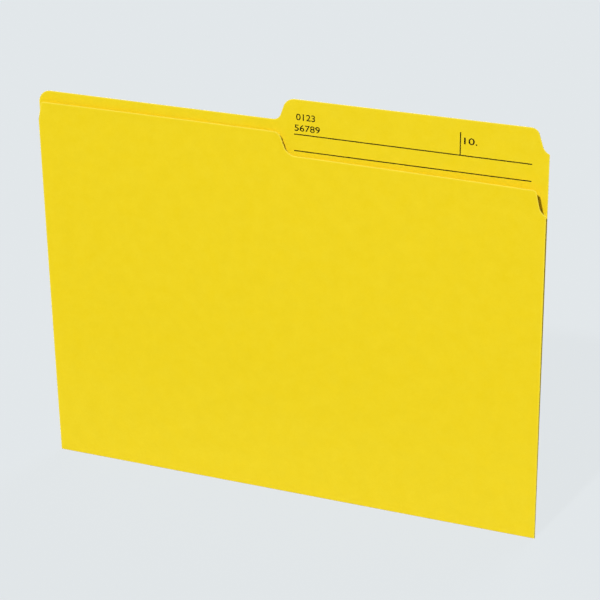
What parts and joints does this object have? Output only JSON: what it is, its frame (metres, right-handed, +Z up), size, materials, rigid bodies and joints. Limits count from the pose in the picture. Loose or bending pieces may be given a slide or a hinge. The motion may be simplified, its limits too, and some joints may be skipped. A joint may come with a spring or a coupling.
{
  "type": "file folder",
  "caption": "Letter-size card file folder, folded once, with a half-cut tab at the right and a lower front panel; both panels hinge at the fold.",
  "frame": {"origin": "middle of the fold's underside, where the folder stands in whatever holds it", "axes": "+Z up from the fold to the tab, +X along the fold towards the tab's end, -Y out of the front panel and +Y out of the back panel"},
  "size_m": [0.2954, 0.006, 0.2413],
  "materials": {
    "yellow_card": "matte"
  },
  "bodies": {
    "fold": {"fold_strip": "yellow_card"},
    "front": {"front_panel": "yellow_card"},
    "back": {"back_panel": "yellow_card"}
  },
  "joints": [
    {"name": "front_opening", "type": "hinge", "parent": "fold", "child": "front", "pos_m": [0, -0.00025, 0.00035], "axis": [1, 0, 0], "range_deg": [-0.18, 89.4], "stiffness_Nm_per_rad": 0.06},
    {"name": "back_opening", "type": "hinge", "parent": "fold", "child": "back", "pos_m": [0, 0.00025, 0.00035], "axis": [-1, 0, 0], "range_deg": [-0.18, 89.4], "stiffness_Nm_per_rad": 0.06}
  ]
}
